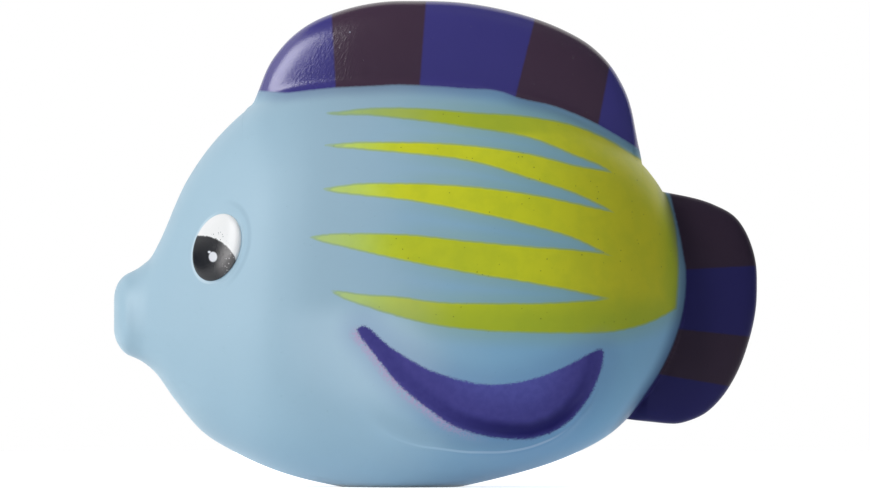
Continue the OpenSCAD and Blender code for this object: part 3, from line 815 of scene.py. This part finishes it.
def banded_fins(n, under, at_tail):
    """Blue fins with plum bands and a blue mist in front of their coats; the tail's coats are painted darker
    as shade, and under the dorsal fin the mist is also painted shade.
    """
    distance = n.number("fin_mm")
    # Overspray in front of the coats; under the dorsal fin it is also painted shade in the valley
    mist = n.times(n.ramp(distance, 2.0, -.1), n.math("MULTIPLY_ADD", at_tail, .22, .36))
    under = n.mix(mist, under, n.mix(at_tail, FIN_MIST_AND_SHADE, TAIL_MIST_SHADED))
    dark = n.coat(n.number("dark_mm"), .2, .12, .8)
    cover = n.coat(distance, .22, .14, .6)
    # Painted shade: the tail's colours are darker than the dorsal fin's
    paint = n.mix(dark, n.mix(at_tail, FIN_BLUE, TAIL_BLUE_SHADED), n.mix(at_tail, FIN_PLUM, TAIL_PLUM_SHADED))
    paint = n.mix(n.times(n.specks(3.0, .04, .5), .7), paint, FIN_SPECK)
    return n.mix(cover, under, paint), cover


def vinyl_relief(n, along, up, glossy, pinholes):
    """Fine grain all over, pits at the pinholes, and streaks at the front of the dorsal fin."""
    inward = n.math("ADD", n.times(along, FRONT_INWARD[0]), n.times(up, FRONT_INWARD[1]))
    on_front = n.times(n.ramp(along, *STREAKS_ALONG), n.ramp(inward, *STREAKS_INWARD, .15, 1.0))
    streaks = n.noise(.5, 3, n.moved(STREAK_STRETCH, STREAK_TURN))
    height = n.math("SUBTRACT", n.times(glossy, on_front, streaks, 1.2), pinholes)
    return n.bump(height, .042, n.bump(n.noise(.55, 3), .012))


def painted_vinyl():
    """Soft vinyl with sprayed flames, banded fins and a crescent on each flank, with painted light and shade
    on the skin and coats.
    """
    n = Nodes("painted_vinyl")
    along, _, up = n.axes()
    at_tail = n.times(n.ramp(along, *TAIL_ALONG), n.ramp(up, *TAIL_UP))
    cloud = n.math("MULTIPLY_ADD", n.noise(9, 3), .012, -.006)
    # Painted light and shade along the flank, with an uneven border between them
    skin = n.mix(n.ramp(n.math("ADD", along, cloud), *REAR_ALONG), HEAD_BLUE_LIT, REAR_BLUE_SHADED)
    # Painted light: the lowest millimetres of the belly paler, for light bounced up from below
    skin = n.mix(n.ramp(up, *BELLY_UP, 0.0, .3), skin, BELLY_PAINTED_LIGHT)
    # Painted highlight and shade round the eye, and painted light in front of the pectoral fin
    skin = painted_light_patch(n, eye_surround(n, skin, along), along, up)
    colour, pinholes = sprayed_flames(n, skin, along, up)
    colour, crescent = sprayed_crescent(n, colour, along)
    colour, fin = banded_fins(n, colour, at_tail)
    n.join(colour, n.shader.inputs["Base Color"])

    glossy = n.times(fin, n.math("SUBTRACT", 1.0, at_tail))
    matt = n.most(n.times(fin, at_tail), crescent)
    uneven = n.math("MULTIPLY_ADD", n.noise(1.6, 3), .08, -.04)
    n.join(n.math("ADD", n.ramp(glossy, 0, 1, .42, .25), uneven), n.shader.inputs["Roughness"])
    shine = n.most(n.ramp(along, *SHEEN_ALONG, .32, .12), n.times(glossy, .72))
    n.join(n.times(shine, n.ramp(matt, 0, 1, 1.0, .6)), n.shader.inputs["Specular IOR Level"])
    n.join(vinyl_relief(n, along, up, glossy, pinholes), n.shader.inputs["Normal"])
    return n.material


def plain_vinyl():
    """The same vinyl without paint, inside the hole in the belly."""
    n = Nodes("bare_vinyl")
    n.join(n.mix(n.ramp(n.noise(3, 3), .3, .7), BARE_DEEP, BARE_PALE), n.shader.inputs["Base Color"])
    n.shader.inputs["Roughness"].default_value = .5
    n.join(n.bump(n.noise(.5, 3), .01), n.shader.inputs["Normal"])
    return n.material


def eye_paint():
    """Glossy white eye with a black lower front part and a light dot; the black turns grey to its right as a
    painted sheen, with light specks that are partly painted sheen.
    """
    n = Nodes("eye_paint")
    x, _, z = n.axes()

    def within(cx, cz, rx, rz, soft):
        across = n.math("DIVIDE", n.math("SUBTRACT", x, cx*MM), rx*MM)
        up = n.math("DIVIDE", n.math("SUBTRACT", z, cz*MM), rz*MM)
        away = n.math("SQRT", n.math("ADD", n.times(across, across), n.times(up, up)))
        wander = n.times(n.math("SUBTRACT", n.noise(.5), .5), .05)
        return n.ramp(n.math("ADD", away, wander), 1 + soft, 1 - soft)

    black = within(*PUPIL)
    dot = n.most(within(*DOT), within(*FLECK))
    crumbs = n.times(n.specks(.3, .32, .4), within(*CRUMB_ZONE))
    # Light specks on the right of the black: partly specks, partly painted sheen
    specks_and_sheen = n.times(n.specks(.3, .42, .5), within(*SPECKS_AND_SHEEN_ZONE), .9)
    white = n.mix(crumbs, EYE_WHITE, EYE_CRUMB)
    # Painted sheen: the black turns grey towards its right
    pupil = n.mix(n.times(within(*SHEEN_GREY_ZONE), .5), EYE_BLACK, EYE_SHEEN_GREY)
    colour = n.mix(black, white, n.mix(specks_and_sheen, pupil, EYE_SPECKS_AND_SHEEN))
    n.join(n.mix(dot, colour, EYE_DOT), n.shader.inputs["Base Color"])
    n.join(n.ramp(n.noise(.5, 3), .2, .8, .16, .24), n.shader.inputs["Roughness"])
    n.join(n.ramp(black, 0, 1, .2, .42), n.shader.inputs["Specular IOR Level"])
    grit = n.times(black, n.noise(.16, 2))
    n.join(n.bump(grit, .02, n.bump(n.noise(.4, 3), .01)), n.shader.inputs["Normal"])
    return n.material


def moulded_plastic(name, pale, deep, roughness):
    """Moulded plastic of the squeaker: a little cloudy, with a fine grain."""
    n = Nodes(name)
    n.join(n.mix(n.ramp(n.noise(2.2, 4), .3, .7), deep, pale), n.shader.inputs["Base Color"])
    n.join(n.ramp(n.noise(.5, 3), .2, .8, roughness - .05, roughness + .05), n.shader.inputs["Roughness"])
    n.join(n.bump(n.noise(.25, 2), .006), n.shader.inputs["Normal"])
    return n.material


def dress(obj, material):
    obj.data.materials.clear()
    obj.data.materials.append(material)


def fish():
    """Both halves of the painted skin, the eyes, and the seat of the squeaker."""
    rings = ring_shares()
    rows = np.array([np.stack(ring_row(s), axis=1) for s in rings])
    vinyl, eyes = painted_vinyl(), eye_paint()
    for side, hand in ((-1, "left"), (1, "right")):
        half = skin_half(f"{hand}_skin", side, rings, rows)
        eye = eye_dome(f"{hand}_eye", side)
        for piece, material in ((half, vinyl), (eye, eyes)):
            dress(piece, material)
            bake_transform(piece)
        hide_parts("body_shell", f"{hand}_flank")
    seat = squeaker_seat()
    dress(seat, plain_vinyl())
    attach(seat, "shell")


def squeaker():
    """Plastics of the squeaker, on its own solids."""
    white = moulded_plastic("squeaker_white", SQUEAKER_PALE, SQUEAKER_DEEP, .42)
    film = moulded_plastic("reed_film", FILM_PALE, FILM_DEEP, .3)
    for node in ("squeaker_cup", "reed_block", "reed_clamp", "squeaker_lid"):
        dress(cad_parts[node], white)
    dress(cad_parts["reed"], film)


def seen_directly(n):
    """1 where the camera sees a sheet, also in a reflection, and 0 where it only lights something."""
    path = n.tree.nodes.new("ShaderNodeLightPath").outputs
    return n.most(path["Is Camera Ray"], path["Is Glossy Ray"], path["Is Transmission Ray"])


def floor_paper():
    """Pale paper that stays white to the eye where no shadow falls, and is open to views from below."""
    n = Nodes("floor_paper")
    n.join(n.mix(n.noise(40, 3), FLOOR_DEEP, FLOOR_PALE), n.shader.inputs["Base Color"])
    n.shader.inputs["Roughness"].default_value = .8
    n.shader.inputs["Emission Color"].default_value = (1, 1, 1, 1)
    n.join(n.times(seen_directly(n), FLOOR_GLOW), n.shader.inputs["Emission Strength"])
    n.open_from_behind(n.shader.outputs[0], n.facing())
    return n.material


def backdrop_paper():
    """White wall behind the fish, which is open to light and to views from behind."""
    n = Nodes("backdrop_paper")
    white = n.tree.nodes.new("ShaderNodeEmission")
    white.inputs["Strength"].default_value = 1
    n.open_from_behind(white.outputs[0], n.times(seen_directly(n), n.facing()))
    n.tree.nodes.remove(n.shader)
    return n.material


def studio():
    """Floor and backdrop, which are no pieces of the toy."""
    bpy.ops.object.select_all(action="DESELECT")
    bpy.ops.mesh.primitive_circle_add(vertices=128, radius=FLOOR_R, fill_type="NGON")
    floor = bpy.context.object
    floor.name = "floor"
    dress(floor, floor_paper())
    bpy.ops.object.select_all(action="DESELECT")
    bpy.ops.mesh.primitive_plane_add(size=BACKDROP_SIZE, location=BACKDROP_AT, rotation=(math.pi/2, 0, 0))
    bpy.ops.object.transform_apply(location=True, rotation=True, scale=True)
    backdrop = bpy.context.object
    backdrop.name = "backdrop"
    dress(backdrop, backdrop_paper())


def lamp(name, place, aim, wide, high, power, colour=(1, 1, 1)):
    """Rectangular lamp, turned towards its aim."""
    bpy.ops.object.light_add(type="AREA", location=place)
    light = bpy.context.object
    light.name = name
    light.data.shape = "RECTANGLE"
    light.data.size, light.data.size_y = wide, high
    light.data.energy = power
    light.data.color = colour
    way = np.array(aim) - np.array(place)
    light.rotation_euler = (
        math.atan2(math.hypot(way[0], way[1]), -way[2]), 0, math.atan2(way[1], way[0]) - math.pi/2,
    )
    return light


def lights():
    """Lamps, and the faint light of the room."""
    middle = (0, 0, .034)
    key = lamp("key", (-.74, -.62, .464), middle, .34, .65, 5.2)
    window = lamp("window", (-.77, -.62, .40), middle, .56, .95, 11.5)
    window.visible_diffuse = False
    lamp("side", (-.897, .078, .62), middle, .8, .8, 2.6, WARM_LAMP)
    cheek = lamp("cheek", (-1.0, -.3, .1), middle, .8, .5, 1.6, WARM_LAMP)
    top = lamp("top", (.28, -.12, .92), middle, .6, .6, 2.0, COOL_LAMP)
    lamp("far_side", (.45, .95, .5), middle, .8, .8, 4.0)
    bounce = lamp("floor_bounce", (0, -.035, .0003), (0, -.035, 1), .12, .07, .0028, BLUE_LAMP)
    bounce.visible_camera = False
    for soft in (key, cheek, top, bounce):
        soft.visible_glossy = False
    world = bpy.data.worlds.new("studio_room")
    bpy.context.scene.world = world
    world.use_nodes = True
    background = world.node_tree.nodes["Background"].inputs
    background["Color"].default_value = ROOM
    background["Strength"].default_value = 1


def camera():
    """Side view through a long lens."""
    bpy.ops.object.camera_add(location=(CAMERA_X, -CAMERA_FAR, CAMERA_Z), rotation=(math.pi/2, 0, 0))
    eye = bpy.context.object
    eye.data.sensor_width = SENSOR_MM
    eye.data.lens = SENSOR_MM*CAMERA_FAR/FRAME_W
    eye.data.clip_start, eye.data.clip_end = .1, 20
    bpy.context.scene.camera = eye


camera()
lights()
studio()
fish()
squeaker()
bpy.context.scene.view_settings.view_transform = "Standard"
bpy.context.view_layer.update()
